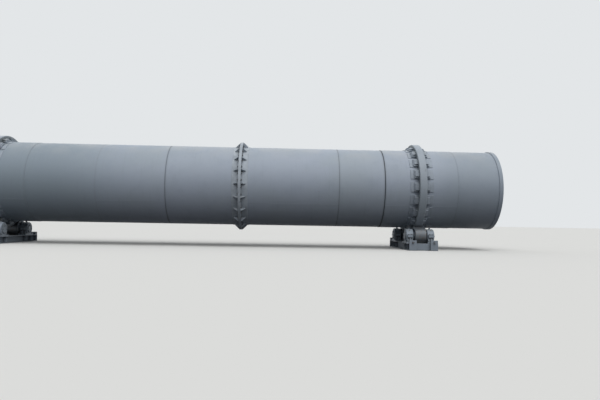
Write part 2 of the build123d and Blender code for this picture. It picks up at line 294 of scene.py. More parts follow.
def sprayed_plate(name, base, seams=(), bare_bore=None, batches=()):
    """Alkyd primer sprayed on rolled plate, a satin film of uneven thickness over slightly wavy
    steel. Broad patches where passes overlap, dust on top, faint rain streaks down the flanks,
    dirt along the ring welds and pinpoint rust. The film's peel, 2 mm wide on the real thing, is
    drawn 6 mm wide. Later batches of primer, each given as its colour, where it begins and is full
    along the drum and its strength, dried darker. A drum's bore is bare."""
    material, tree, shader, where = new_material(name)
    along = add(tree, "ShaderNodeSeparateXYZ", inputs={"Vector": where}).outputs["X"]
    passes = patches(tree, where, grain=1300, span=(0.35, 0.68), most=0.55, detail=3, stretch=(0.6, 1, 1))
    tone = over(tree, colour(base), colour("#9faab1"), passes)
    for batch, begins, full, strength in batches:
        laid = add(tree, *FADE, {"Value": along, "From Min": begins, "From Max": full, "To Max": strength})
        tone = over(tree, tone, colour(batch), laid)
    cloudy = patches(tree, where, grain=350, span=(0.45, 0.75), most=0.22, detail=5)
    tone = over(tree, tone, colour("#8c97a6"), cloudy)
    streaks = patches(tree, where, grain=50, span=(0.52, 0.80), most=0.10, detail=3,
                      stretch=(1, 0.07, 0.07))
    tone = over(tree, tone, colour("#737c84"), streaks)
    dust = patches(tree, where, grain=500, span=(0.30, 0.75), most=0.40, detail=6)
    tone = dusted(tree, tone, colour("#bdbfbe"), level=0.45, uneven=dust)
    for seam, dirt in seams:
        beside = add(tree, *ABSOLUTE, {0: add(tree, *SUBTRACT, {0: along, 1: seam})})
        for shade, gone, full, most in SEAM_LINES:
            line = add(tree, *FADE, {
                "Value": beside, "From Min": gone, "From Max": full, "To Max": most * dirt})
            tone = over(tree, tone, colour(shade), line)
    specks = patches(tree, where, grain=20, span=(0.735, 0.76), detail=2)
    tone = over(tree, tone, colour("#6d4a35"), specks)
    if bare_bore:
        # Dirt and painted shade darken the shell beside the riding rings
        tone = dirt_and_shade_by_rings(tree, where, tone, most=0.5)
        inside = add(tree, *FADE, {
            "Value": radius_from(tree, where, 0.0, DRUM_Z),
            "From Min": bare_bore + BORE_EDGE[0], "From Max": bare_bore + BORE_EDGE[1]})
        tone = over(tree, tone, rusty_scale(tree, where), inside)
    waves = grainy(tree, where, grain=600, detail=1, stretch=(0.5, 1, 1))
    skin = add(tree, *MULTIPLY_ADD, {0: waves, 1: 10.0, 2: grainy(tree, where, grain=6, detail=2)})
    connect(tree, shader, {
        "Base Color": tone,
        "Roughness": add(tree, *MULTIPLY_ADD, {0: grainy(tree, where, grain=150), 1: 0.2, 2: 0.42}),
        "Specular IOR Level": PRIMER_SHEEN,
        "Normal": add(tree, "ShaderNodeBump", inputs={
            "Strength": 0.15, "Distance": 0.0015, "Height": skin})})
    return material


def primed_steelwork(name, base, edge_reach, corner_shade, ring_dirt_and_shade=0.0):
    """Alkyd primer on sawn, flame cut and welded plate: rougher than on the shell, rubbed through
    to dull steel along its edges, with painted shade darkening its corners, and dirt and painted
    shade beside the rings. The pits of its skin, 2 mm wide on the real thing, are drawn 8 mm wide."""
    material, tree, shader, where = new_material(name)
    thin = patches(tree, where, grain=250, span=(0.40, 0.70), most=0.6, detail=5)
    tone = over(tree, colour(base), colour("#8a949d"), thin)
    if ring_dirt_and_shade:
        # Dirt and painted shade beside the riding rings
        tone = dirt_and_shade_by_rings(tree, where, tone, most=ring_dirt_and_shade)
    # Painted shade: darker in the corners, by ambient occlusion
    tone = over(tree, tone, colour("#3a3834"), shade_in_corner(tree, reach=0.06, most=corner_shade))
    dust = patches(tree, where, grain=120, span=(0.35, 0.70), most=0.45, detail=5)
    tone = dusted(tree, tone, colour("#aaa9a2"), level=0.6, uneven=dust)
    worn = patches(tree, where, grain=40, span=(0.48, 0.60))
    rubbed = add(tree, *MULTIPLY, {0: near_edge(tree, edge_reach), 1: worn})
    tone = over(tree, tone, colour("#5b5a58"), rubbed)
    specks = patches(tree, where, grain=12, span=(0.70, 0.74), detail=2)
    rough_skin = grainy(tree, where, grain=8, detail=3)
    connect(tree, shader, {
        "Base Color": over(tree, tone, colour("#6e4934"), specks),
        "Roughness": add(tree, *MULTIPLY_ADD, {0: rubbed, 1: -0.15, 2: 0.58}),
        "Specular IOR Level": PRIMER_SHEEN,
        "Normal": add(tree, "ShaderNodeBump", inputs={
            "Strength": 0.25, "Distance": 0.001, "Height": rough_skin})})
    return material


def primed_ring(name, base):
    """Alkyd primer on a forged ring turned on a lathe: faint tool marks under the film, scuffs on
    the tread, grease and painted shade on the sides, and painted shade in the corners."""
    material, tree, shader, where = new_material(name)
    marks = turning_marks(tree, where)
    thin = patches(tree, where, grain=500, span=(0.38, 0.70), most=0.5)
    tone = over(tree, colour(base), colour("#8e99a2"), thin)
    tone = over(tree, tone, colour("#aeb6bd"), marks, 0.12)
    scuffs = patches(tree, where, grain=30, span=(0.60, 0.72), most=0.5, detail=5, stretch=(1, 0.12, 0.12))
    tread = add(tree, *FADE, {
        "Value": radius_from(tree, where, 0.0, DRUM_Z),
        "From Min": TYRE_RADIUS - RING_EDGE[0], "From Max": TYRE_RADIUS - RING_EDGE[1]})
    tone = over(tree, tone, colour("#666b70"), scuffs, tread)
    along = add(tree, "ShaderNodeSeparateXYZ", inputs={"Vector": where}).outputs["X"]
    # Grease and painted shade darken the ring's side faces
    grease = patches(tree, where, grain=100, span=(0.25, 0.55), most=0.75, detail=5)
    side = add(tree, *FADE, {
        "Value": from_ring(tree, along),
        "From Min": TYRE_HALF - RING_EDGE[0], "From Max": TYRE_HALF - RING_EDGE[1]})
    tone = over(tree, tone, colour("#7b8486"), grease, side)
    connect(tree, shader, {
        # Painted shade: darker in the corners, by ambient occlusion
        "Base Color": over(tree, tone, colour("#3a3834"), shade_in_corner(tree, reach=0.06, most=0.4)),
        "Roughness": 0.46,
        "Specular IOR Level": PRIMER_SHEEN,
        "Normal": add(tree, "ShaderNodeBump", inputs={
            "Strength": 0.10, "Distance": 0.0008, "Height": marks})})
    return material


def bare_plate(name):
    """Hot-rolled plate, sheared, folded and left bare: mill scale that has begun to rust."""
    material, tree, shader, where = new_material(name)
    flaking = grainy(tree, where, grain=12)
    connect(tree, shader, {
        "Base Color": rusty_scale(tree, where),
        "Roughness": 0.78,
        "Normal": add(tree, "ShaderNodeBump", inputs={
            "Strength": 0.3, "Distance": 0.001, "Height": flaking})})
    return material


def roller_finish(name):
    """Cast steel rollers: a turned tread with rings of tool marks, ground journals, and primer on
    the recessed faces, with painted shade in their corners."""
    material, tree, shader, where = new_material(name)
    radius = radius_from(tree, where, ROLLER_Y, SHAFT_Z)
    marks = turning_marks(tree, where)
    crests = add(tree, *FADE, {"Value": marks, "From Min": 0.35, "From Max": 0.8})
    steel = over(tree, colour("#5a5f64"), colour("#6b7075"), crests)
    bloom = patches(tree, where, grain=60, span=(0.50, 0.75), most=0.5, detail=6)
    steel = over(tree, steel, colour("#6d5641"), bloom)
    thin = patches(tree, where, grain=80, span=(0.40, 0.70), detail=5)
    paint = over(tree, colour("#8b96a1"), colour("#6d757c"), thin)
    # Painted shade: darker in the corners of the recessed faces, by ambient occlusion
    paint = over(tree, paint, colour("#35332f"), shade_in_corner(tree, reach=0.07, most=0.7))
    turned = add(tree, *FADE, {
        "Value": radius,
        "From Min": ROLLER_RADIUS - TREAD_EDGE[0], "From Max": ROLLER_RADIUS - TREAD_EDGE[1]})
    ground = add(tree, *FADE, {
        "Value": radius,
        "From Min": JOURNAL_RADIUS + BORE_EDGE[0], "From Max": JOURNAL_RADIUS + BORE_EDGE[1]})
    bare = add(tree, *MAXIMUM, {0: turned, 1: ground})
    connect(tree, shader, {
        "Base Color": over(tree, paint, steel, bare),
        "Metallic": add(tree, *MULTIPLY, {0: bare, 1: 0.5}),
        "Roughness": add(tree, *MULTIPLY_ADD, {0: bare, 1: -0.07, 2: 0.55}),
        "Normal": add(tree, "ShaderNodeBump", inputs={
            "Strength": 0.15, "Distance": 0.0003, "Height": marks})})
    return material


def painted_casting(name, base):
    """Grey iron cast in sand and brush painted: a pebbled skin under thick paint that chips off the
    edges, with painted shade darkening the corners. The pebbles, 2 mm wide on the real thing, are
    drawn 7 mm wide."""
    material, tree, shader, where = new_material(name)
    thin = patches(tree, where, grain=100, span=(0.40, 0.70), most=0.7, detail=5)
    tone = over(tree, colour(base), colour("#7c8791"), thin)
    # Painted shade: darker in the corners, by ambient occlusion
    tone = over(tree, tone, colour("#33322f"), shade_in_corner(tree, reach=0.07, most=0.75))
    chips = patches(tree, where, grain=20, span=(0.50, 0.60))
    tone = over(tree, tone, colour("#4b4845"), near_edge(tree, reach=0.006), chips)
    dust = patches(tree, where, grain=60, span=(0.30, 0.70), most=0.5, detail=5)
    pebbles = grainy(tree, where, grain=7, detail=3)
    connect(tree, shader, {
        "Base Color": dusted(tree, tone, colour("#a9a8a0"), level=0.5, uneven=dust),
        "Roughness": 0.52,
        "Normal": add(tree, "ShaderNodeBump", inputs={
            "Strength": 0.35, "Distance": 0.0015, "Height": pebbles})})
    return material


def fastener_steel(name, base, rust):
    """Forged hexagon bolts with a black oxide skin, dusted with primer and starting to rust."""
    material, tree, shader, where = new_material(name)
    rusty = patches(tree, where, grain=12, span=(0.48, 0.70), most=rust, detail=3)
    mist = patches(tree, where, grain=50, span=(0.40, 0.65), most=0.5, detail=3)
    tone = over(tree, colour(base), colour("#6b4a35"), rusty)
    connect(tree, shader, {
        "Base Color": over(tree, tone, colour("#8e979f"), mist), "Metallic": 0.3, "Roughness": 0.55})
    return material


def turned_brass(name):
    """Brass turned from bar, dulled to brown."""
    material, tree, shader, where = new_material(name)
    dull = patches(tree, where, grain=6, span=(0.40, 0.70), detail=3)
    brass = over(tree, colour("#a98b4e"), colour("#5d4a2c"), dull)
    connect(tree, shader, {"Base Color": brass, "Metallic": 0.9, "Roughness": 0.42})
    return material


SHELL_PAINT = sprayed_plate("primer_sprayed_on_rolled_plate", "#a6b0be", SEAMS, SHELL_BORE, BATCHES)
WELD_PAINT = sprayed_plate("primer_sprayed_on_weld_beads", "#939da9", SEAMS)
FLANGE_PAINT = primed_steelwork("primer_on_flame_cut_plate", "#b4bdc6", edge_reach=0.004, corner_shade=0.45)
CHAIR_PAINT = primed_steelwork("primer_on_rolled_pads", "#a3adb8", edge_reach=0.004, corner_shade=0.1,
                               ring_dirt_and_shade=0.8)
FRAME_PAINT = primed_steelwork("primer_on_rolled_sections", "#909aa5", edge_reach=0.003, corner_shade=0.65)
RING_PAINT = primed_ring("primer_on_turned_forging", "#a1abb5")
BARE_PLATE = bare_plate("rusting_hot_rolled_plate")
ROLLER_STEEL = roller_finish("turned_cast_steel")
HOUSING_PAINT = painted_casting("brush_painted_iron_casting", "#97a2ad")
BOLT_STEEL = fastener_steel("oxide_skinned_forged_bolts", "#4c5054", rust=0.5)
SCREW_STEEL = fastener_steel("rolled_thread_screw_steel", "#5b5f63", rust=0.7)
BRASS = turned_brass("dulled_turned_brass")

FINISHES = (
    ("_course", SHELL_PAINT),
    ("_end_ring", SHELL_PAINT),
    ("_joint_flange", FLANGE_PAINT),
    ("_tyre", RING_PAINT),
    ("_chairs", CHAIR_PAINT),
    ("_dam_ring", BARE_PLATE),
    ("_flights", BARE_PLATE),
    ("_roller", ROLLER_STEEL),
    ("_base_frame", FRAME_PAINT),
    ("_housings", HOUSING_PAINT),
    ("_caps", HOUSING_PAINT),
    ("_screws", SCREW_STEEL),
)


def finish_of(node):
    """The material of a CAD part, by the end of its name. What is left are the lifters."""
    for ending, material in FINISHES:
        if node.endswith(ending):
            return material
    return BARE_PLATE


for node_name, node_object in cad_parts.items():
    node_object.data.materials.clear()
    node_object.data.materials.append(finish_of(node_name))


# Geometry Nodes trees for what repeats or follows a path

def new_tree(name, sizes):
    """A Geometry Nodes tree with a named input for each size, and one for the material."""
    tree = bpy.data.node_groups.new(name, "GeometryNodeTree")
    sockets = tree.interface
    sockets.new_socket(name="Geometry", in_out="INPUT", socket_type="NodeSocketGeometry")
    for size, value in sizes.items():
        made = sockets.new_socket(name=size, in_out="INPUT", socket_type="NodeSocketFloat")
        made.default_value = value
    sockets.new_socket(name="Material", in_out="INPUT", socket_type="NodeSocketMaterial")
    sockets.new_socket(name="Geometry", in_out="OUTPUT", socket_type="NodeSocketGeometry")
    return tree, add(tree, "NodeGroupInput").outputs


def end_tree(tree, geometry, material):
    """Realizes the instances, sets the material and ends the tree."""
    real = add(tree, "GeometryNodeRealizeInstances", inputs={"Geometry": geometry})
    finished = add(tree, "GeometryNodeSetMaterial", inputs={"Geometry": real, "Material": material})
    add(tree, "NodeGroupOutput", inputs={"Geometry": finished})
    return tree


def raised(tree, piece, height):
    """Lifts a piece by a height."""
    offset = add(tree, "ShaderNodeCombineXYZ", inputs={"Z": height})
    return add(tree, "GeometryNodeTransform", inputs={"Geometry": piece, "Translation": offset})


def cylinder(tree, sides, radius, depth, base):
    """An upright cylinder that stands on a base height."""
    made = add(tree, "GeometryNodeMeshCylinder", inputs={
        "Vertices": sides, "Radius": radius, "Depth": depth})
    return raised(tree, made, add(tree, *MULTIPLY_ADD, {0: depth, 1: 0.5, 2: base}))


def cone(tree, sides, bottom, top, depth, base):
    """An upright cone with a cut top, on a base height."""
    made = add(tree, "GeometryNodeMeshCone", inputs={
        "Vertices": sides, "Radius Bottom": bottom, "Radius Top": top, "Depth": depth})
    return raised(tree, made, base)


def placed(tree, points, pieces):
    """Puts the joined pieces at each point, with their Z along the way the point faces."""
    join = add(tree, "GeometryNodeJoinGeometry")
    for piece in pieces:
        connect(tree, join, {0: piece})
    facing = add(tree, "GeometryNodeInputNamedAttribute", {"data_type": "FLOAT_VECTOR"}, {"Name": "facing"})
    turn = add(tree, "FunctionNodeAlignRotationToVector", {"axis": "Z"}, {
        "Vector": facing.outputs["Attribute"]})
    return add(tree, "GeometryNodeInstanceOnPoints", inputs={
        "Points": points, "Instance": join, "Rotation": turn})


def ring_of_copies_tree():
    """Copies of one piece made about the X axis, evenly round the drum at both riding rings."""
    sizes = {"Count": 20.0, "First ring": TYRE_XS["feed"], "Second ring": TYRE_XS["discharge"],
             "Axis height": DRUM_Z}
    tree, inputs = new_tree("rings_of_copies", sizes)
    join = add(tree, "GeometryNodeJoinGeometry")
    for ring in ("First ring", "Second ring"):
        place = add(tree, "ShaderNodeCombineXYZ", inputs={"X": inputs[ring], "Z": inputs["Axis height"]})
        stack = add(tree, "GeometryNodeMeshLine", inputs={
            "Count": inputs["Count"], "Start Location": place, "Offset": (0.0, 0.0, 0.0)})
        connect(tree, join, {0: stack})
    share = add(tree, *DIVIDE, {0: add(tree, "GeometryNodeInputIndex"), 1: inputs["Count"]})
    turn = add(tree, *MULTIPLY, {0: share, 1: 2 * math.pi})
    euler = add(tree, "ShaderNodeCombineXYZ", inputs={"X": turn})
    rotation = add(tree, "FunctionNodeEulerToRotation", inputs={0: euler})
    copies = add(tree, "GeometryNodeInstanceOnPoints", inputs={
        "Points": join, "Instance": inputs["Geometry"], "Rotation": rotation})
    return end_tree(tree, copies, inputs["Material"])


# A hexagon's washer and thread radii are shares of its flats, its chamfer of its height, the
# thread's point of its end, and each cut top of the radius under it
WASHER_RADIUS = 0.62
CHAMFER = 0.14
CHAMFER_TOP = 0.86
THREAD_RADIUS = 0.32
THREAD_POINT = 0.2
THREAD_POINT_TOP = 0.85


def hexagon_tree(name, thread_end):
    """A hexagon with a chamfered top on a round washer. A nut also shows the end of its thread."""
    sizes = {"Across flats": 0.046, "Height": 0.019, "Washer": 0.005, "Thread end": 0.012}
    tree, inputs = new_tree(name, sizes)
    flats, height, washer, end = [inputs[size] for size in sizes]
    corner = add(tree, *DIVIDE, {0: flats, 1: math.sqrt(3)})
    chamfer = add(tree, *MULTIPLY, {0: height, 1: CHAMFER})
    straight = add(tree, *SUBTRACT, {0: height, 1: chamfer})
    shoulder = add(tree, *ADD, {0: washer, 1: straight})
    pieces = [
        cylinder(tree, 20, add(tree, *MULTIPLY, {0: flats, 1: WASHER_RADIUS}), washer, 0.0),
        cylinder(tree, 6, corner, straight, washer),
        cone(tree, 6, corner, add(tree, *MULTIPLY, {0: corner, 1: CHAMFER_TOP}), chamfer, shoulder),
    ]
    if thread_end:
        top = add(tree, *ADD, {0: washer, 1: height})
        thread = add(tree, *MULTIPLY, {0: flats, 1: THREAD_RADIUS})
        point = add(tree, *MULTIPLY, {0: end, 1: THREAD_POINT})
        tip = add(tree, *MULTIPLY, {0: thread, 1: THREAD_POINT_TOP})
        stud = add(tree, *SUBTRACT, {0: end, 1: point})
        pieces.append(cylinder(tree, 14, thread, stud, top))
        pieces.append(cone(tree, 14, thread, tip, point, add(tree, *ADD, {0: top, 1: stud})))
    return end_tree(tree, placed(tree, inputs["Geometry"], pieces), inputs["Material"])


def nipple_tree():
    """A grease nipple: a small hexagon, a neck and a rounded head, each a third of its height."""
    tree, inputs = new_tree("grease_nipples", {"Across flats": 0.014, "Height": 0.024})
    flats = inputs["Across flats"]
    third = add(tree, *DIVIDE, {0: inputs["Height"], 1: 3.0})
    head = add(tree, *MULTIPLY, {0: flats, 1: 0.36})
    pieces = [
        cylinder(tree, 6, add(tree, *DIVIDE, {0: flats, 1: math.sqrt(3)}), third, 0.0),
        cylinder(tree, 10, add(tree, *MULTIPLY, {0: flats, 1: 0.26}), third, third),
        cone(tree, 10, head, add(tree, *MULTIPLY, {0: head, 1: 0.5}), third,
             add(tree, *MULTIPLY, {0: third, 1: 2.0})),
    ]
    return end_tree(tree, placed(tree, inputs["Geometry"], pieces), inputs["Material"])


def lifting_eye_tree():
    """A forged eye on a round collar."""
    sizes = {"Eye radius": 0.026, "Bar radius": 0.008, "Collar radius": 0.022, "Collar": 0.010}
    tree, inputs = new_tree("lifting_eyes", sizes)
    eye, bar, collar = inputs["Eye radius"], inputs["Bar radius"], inputs["Collar"]
    ring = add(tree, "GeometryNodeCurvePrimitiveCircle", inputs={"Resolution": 28, "Radius": eye})
    section = add(tree, "GeometryNodeCurvePrimitiveCircle", inputs={"Resolution": 10, "Radius": bar})
    swept = add(tree, "GeometryNodeCurveToMesh", inputs={"Curve": ring, "Profile Curve": section})
    upright = add(tree, "GeometryNodeTransform", inputs={
        "Geometry": swept, "Rotation": (math.radians(90), 0.0, 0.0)})
    middle_height = add(tree, *MULTIPLY_ADD, {0: bar, 1: 0.6, 2: add(tree, *ADD, {0: eye, 1: collar})})
    pieces = [raised(tree, upright, middle_height),
              cylinder(tree, 20, inputs["Collar radius"], collar, 0.0)]
    return end_tree(tree, placed(tree, inputs["Geometry"], pieces), inputs["Material"])


def weld_tree():
    """A bead along each path, whose ripple wanders about every 60 mm."""
    tree, inputs = new_tree("weld_beads", {"Bead radius": 0.006, "Ripple": 0.002, "Step": 0.03})
    curve = add(tree, "GeometryNodeMeshToCurve", inputs={"Mesh": inputs["Geometry"]})
    even = add(tree, "GeometryNodeResampleCurve", {"mode": "LENGTH"}, {
        "Curve": curve, "Length": inputs["Step"]})
    wander = add(tree, "ShaderNodeTexNoise", {"noise_dimensions": "3D"}, {"Scale": 17.0, "Detail": 1.0})
    centred = add(tree, "ShaderNodeVectorMath", {"operation": "SUBTRACT"}, {
        0: wander.outputs["Color"], 1: (0.5, 0.5, 0.5)})
    shift = add(tree, "ShaderNodeVectorMath", {"operation": "SCALE"}, {
        0: centred, "Scale": inputs["Ripple"]})
    rippled = add(tree, "GeometryNodeSetPosition", inputs={"Geometry": even, "Offset": shift})
    section = add(tree, "GeometryNodeCurvePrimitiveCircle", inputs={
        "Resolution": 6, "Radius": inputs["Bead radius"]})
    bead = add(tree, "GeometryNodeCurveToMesh", inputs={
        "Curve": rippled, "Profile Curve": section, "Fill Caps": True})
    return end_tree(tree, bead, inputs["Material"])


COPIES = ring_of_copies_tree()
HEADS = hexagon_tree("bolt_heads", False)
NUTS = hexagon_tree("nuts", True)
NIPPLES = nipple_tree()
EYES = lifting_eye_tree()
WELDS = weld_tree()


def grow(name, tree, mesh, material, body, slot, **sizes):
    """Runs a tree on a mesh, keeps the result as a plain mesh and lets it ride on a body."""
    seed = bpy.data.objects.new(name + "_seed", mesh)
    bpy.context.scene.collection.objects.link(seed)
    modifier = seed.modifiers.new("grow", "NODES")
    modifier.node_group = tree
    values = {"Material": material}
    values.update({size.replace("_", " ").capitalize(): value for size, value in sizes.items()})
    for item in tree.interface.items_tree:
        if item.in_out == "INPUT" and item.name in values:
            modifier[item.identifier] = values.pop(item.name)
    if values:
        raise ValueError(f"{name}: the tree has no input {sorted(values)}")
    bpy.context.view_layer.update()
    evaluated = seed.evaluated_get(bpy.context.evaluated_depsgraph_get())
    grown = bpy.data.meshes.new_from_object(evaluated)
    bpy.data.objects.remove(seed)
    piece = bpy.data.objects.new(name, grown)
    bpy.context.scene.collection.objects.link(piece)
    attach(piece, body)
    return piece


TURN_STEPS = 6


def turned_mesh(blocks):
    """Solids about the X axis, from (outline, width) pairs. An outline is a loop of (x, radius)."""
    corners, faces = [], []
    for outline, width in blocks:
        first, count = len(corners), len(outline)
        spread = width / outline[0][1]
        for step in range(TURN_STEPS + 1):
            turn = (step / TURN_STEPS - 0.5) * spread
            corners += [(x, -radius * math.sin(turn), radius * math.cos(turn)) for x, radius in outline]
        for step in range(TURN_STEPS):
            for i in range(count):
                a = first + step * count + i
                b = first + step * count + (i + 1) % count
                faces.append((a, b, b + count, a + count))
        faces.append(tuple(range(first + count - 1, first - 1, -1)))
        faces.append(tuple(range(len(corners) - count, len(corners))))
    mesh = bpy.data.meshes.new("turned_blocks")
    mesh.from_pydata(corners, [], faces)
    return mesh


def points_mesh(places):
    """A mesh of loose points, each with the direction it faces, from (place, direction) pairs."""
    mesh = bpy.data.meshes.new("points")
    mesh.from_pydata([place for place, _ in places], [], [])
    facing = mesh.attributes.new("facing", "FLOAT_VECTOR", "POINT")
    facing.data.foreach_set("vector", [value for _, way in places for value in way])
    return mesh


def paths_mesh(paths):
    """A mesh of edges along paths, each given as (points, closed)."""
    corners, edges = [], []
    for points, closed in paths:
        first = len(corners)
        corners += points
        edges += [(first + i, first + i + 1) for i in range(len(points) - 1)]
        if closed:
            edges.append((len(corners) - 1, first))
    mesh = bpy.data.meshes.new("paths")
    mesh.from_pydata(corners, edges, [])
    return mesh


# The drum's welds and bolts

RING_POINTS = 180
SEAM_BEAD = 0.007
SEAM_SUNK = SEAM_BEAD * 0.6
SEAM_END = SEAM_BEAD * 2
LONG_WELD_TURNS = (-62, 118)
FILLET_BEAD = 0.006
FILLET_LIFT = FILLET_BEAD * 0.3
BAND_FILLET_LIFT = FILLET_BEAD * 0.2
FLANGE_BOLTS = 40
FLANGE_BOLT_CIRCLE = 1.185
FLANGE_BOLT_HEIGHT = 0.020
M30_FLATS = 0.046
M24_FLATS = 0.036
M12_FLATS = 0.018
LIFTER_SECTIONS = 5
STITCH_LENGTH = 0.080
STITCH_PITCH = 0.300
STITCH_START = STITCH_PITCH * 0.35
FLIGHT_STEPS = 24


def ring_path(x, radius):
    """A closed path round the drum."""
    return [about_drum(x, radius, i * 360 / RING_POINTS) for i in range(RING_POINTS)], True


def seam_welds():
    """The ring welds between the courses, and one long weld along each course, staggered so that
    they never meet."""
    paths = []
    for course in SEAM_DIRT:
        thicker = "tyre" in course or course in ("feed_shell_course", "discharge_end_course")
        radius = TYRE_COURSE_RADIUS if thicker else SHELL_RADIUS
        paths.append(ring_path(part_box(course)[0].x, radius - SEAM_SUNK))
    for index, course in enumerate(COURSES):
        low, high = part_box(course)
        turn = LONG_WELD_TURNS[index % 2]
        radius = high.z - DRUM_Z - SEAM_SUNK
        ends = [about_drum(x, radius, turn) for x in (low.x + SEAM_END, high.x - SEAM_END)]
        paths.append((ends, False))
    grow("shell_seam_welds", WELDS, paths_mesh(paths), WELD_PAINT, "drum", "drum_paint",
         bead_radius=SEAM_BEAD)


def joint_welds():
    """The fillets round both bands and flanges, and along both faces of each gusset."""
    paths = []
    face = GUSSET_THICKNESS / 2 + FILLET_LIFT
    edge = ((GUSSET_END, BAND_RADIUS), (FLANGE_THICKNESS, BAND_RADIUS), (FLANGE_THICKNESS, GUSSET_TOP))
    for way in (-1, 1):
        paths.append(ring_path(JOINT_X + way * (FLANGE_THICKNESS + BAND_FILLET_LIFT), BAND_RADIUS))
        paths.append(ring_path(JOINT_X + way * BAND_LENGTH, SHELL_RADIUS + FILLET_LIFT))
        for index in range(GUSSETS):
            turn = index * 360 / GUSSETS
            for aside in (-face, face):
                run = [about_drum(JOINT_X + way * x, radius, turn, aside) for x, radius in edge]
                paths.append((run, False))
    grow("joint_fillet_welds", WELDS, paths_mesh(paths), FLANGE_PAINT, "drum", "drum_paint",
         bead_radius=FILLET_BEAD)


def joint_bolts():
    """Two bolts in each bay between the gussets, with their heads on one side and nuts on the
    other."""
    for name, way, tree in (("joint_bolt_heads", -1, HEADS), ("joint_bolt_nuts", 1, NUTS)):
        x = JOINT_X + way * FLANGE_THICKNESS
        places = [(about_drum(x, FLANGE_BOLT_CIRCLE, (i + 0.5) * 360 / FLANGE_BOLTS), (way, 0, 0))
                  for i in range(FLANGE_BOLTS)]
        grow(name, tree, points_mesh(places), BOLT_STEEL, "drum", "screw_steel",
             across_flats=M30_FLATS, height=FLANGE_BOLT_HEIGHT)


CHAIRS = 20
FOOT_HALF = 0.310
FOOT_WIDTH = 0.260
FOOT_RADIUS = TYRE_COURSE_RADIUS + 0.014
PAD_HALF = 0.215
PAD_WIDTH = 0.240
STOP_FACE = 0.101
STOP_END = 0.195
STOP_WIDTH = 0.180
STOP_RADIUS = CHAIR_TOP + 0.044
STOP_SHOULDER = 0.135
STOP_END_RADIUS = CHAIR_TOP + 0.026

# How deep each block sits in the one under it, so that no gap shows
SUNK = 0.001


def tyre_chairs():
    """The chairs of both riding rings: a foot plate curved to the shell, a thick pad that the ring
    rests on, and a stop block on each side of the ring."""
    low, foot, top = TYRE_COURSE_RADIUS - SUNK, FOOT_RADIUS, CHAIR_TOP
    blocks = [
        ([(-FOOT_HALF, low), (FOOT_HALF, low), (FOOT_HALF, foot), (-FOOT_HALF, foot)], FOOT_WIDTH),
        ([(-PAD_HALF, foot - SUNK), (PAD_HALF, foot - SUNK), (PAD_HALF, top), (-PAD_HALF, top)], PAD_WIDTH),
    ]
    stop = [(STOP_FACE, top - SUNK), (STOP_END, top - SUNK), (STOP_END, STOP_END_RADIUS),
            (STOP_SHOULDER, STOP_RADIUS), (STOP_FACE, STOP_RADIUS)]
    blocks.append((stop, STOP_WIDTH))
    blocks.append(([(-x, radius) for x, radius in reversed(stop)], STOP_WIDTH))
    chairs = grow("tyre_chairs", COPIES, turned_mesh(blocks), CHAIR_PAINT, "drum", "drum_paint",
                  count=float(CHAIRS))
    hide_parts(*[f"{end}_tyre_chairs" for end in ENDS])


def chair_welds():
    """The fillets round each foot plate, round the pad on it, and round the outside of each stop
    block."""
    paths = []
    for tyre_x in TYRE_XS.values():
        for index in range(CHAIRS):
            turn = index * 360 / CHAIRS
            for half, side, radius in ((FOOT_HALF, FOOT_WIDTH / 2, TYRE_COURSE_RADIUS),
                                       (PAD_HALF, PAD_WIDTH / 2, FOOT_RADIUS)):
                loop = [(-half, aside) for aside in (-side, -side / 3, side / 3, side)]
                loop += [(half, aside) for aside in (side, side / 3, -side / 3, -side)]
                paths.append(([about_drum(tyre_x + x, radius, turn, a) for x, a in loop], True))
            side = STOP_WIDTH / 2
            for way in (-1, 1):
                stop = [(STOP_FACE, -side), (STOP_END, -side), (STOP_END, side), (STOP_FACE, side)]
                paths.append(([about_drum(tyre_x + way * x, CHAIR_TOP, turn, a) for x, a in stop], False))
    grow("chair_fillet_welds", WELDS, paths_mesh(paths), CHAIR_PAINT, "drum", "drum_paint",
         bead_radius=FILLET_BEAD)


def end_ring_welds():
    """The fillet along the inner edge of each end ring."""
    paths = []
    for end in ENDS:
        low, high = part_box(f"{end}_end_ring")
        x = high.x if end == "feed" else low.x
        paths.append(ring_path(x, SHELL_RADIUS + FILLET_LIFT))
    grow("end_ring_welds", WELDS, paths_mesh(paths), WELD_PAINT, "drum", "drum_paint",
         bead_radius=FILLET_BEAD)


def inner_welds():
    """Stitches along both faces of each lifter's foot, and a run along each spiral flight."""
    paths = []
    for section in range(LIFTER_SECTIONS):
        low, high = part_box(f"lifter_section_{section + 1}")
        first = 180 / LIFTERS * (section % 2)
        stitches = int((high.x - low.x) / STITCH_PITCH)
        for row in range(LIFTERS):
            turn = first + row * 360 / LIFTERS
            for aside in (FILLET_LIFT, -LIFTER_THICKNESS - FILLET_LIFT):
                for stitch in range(stitches):
                    x = low.x + STITCH_START + stitch * STITCH_PITCH
                    ends = [about_drum(end, LIFTER_ROOT, turn, aside) for end in (x, x + STITCH_LENGTH)]
                    paths.append((ends, False))
    low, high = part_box("feed_spiral_flights")
    for flight in range(FLIGHTS):
        for aside in (-FLIGHT_THICKNESS / 2, FLIGHT_THICKNESS / 2):
            run = []
            for step in range(FLIGHT_STEPS + 1):
                share = step / FLIGHT_STEPS
                turn = flight * 360 / FLIGHTS + FLIGHT_TWIST * share
                run.append(about_drum(low.x + (high.x - low.x) * share, LIFTER_ROOT, turn, aside))
            paths.append((run, False))
    grow("inside_welds", WELDS, paths_mesh(paths), BARE_PLATE, "drum", "inner_plate",
         bead_radius=FILLET_BEAD)


# The stations' fasteners and welds

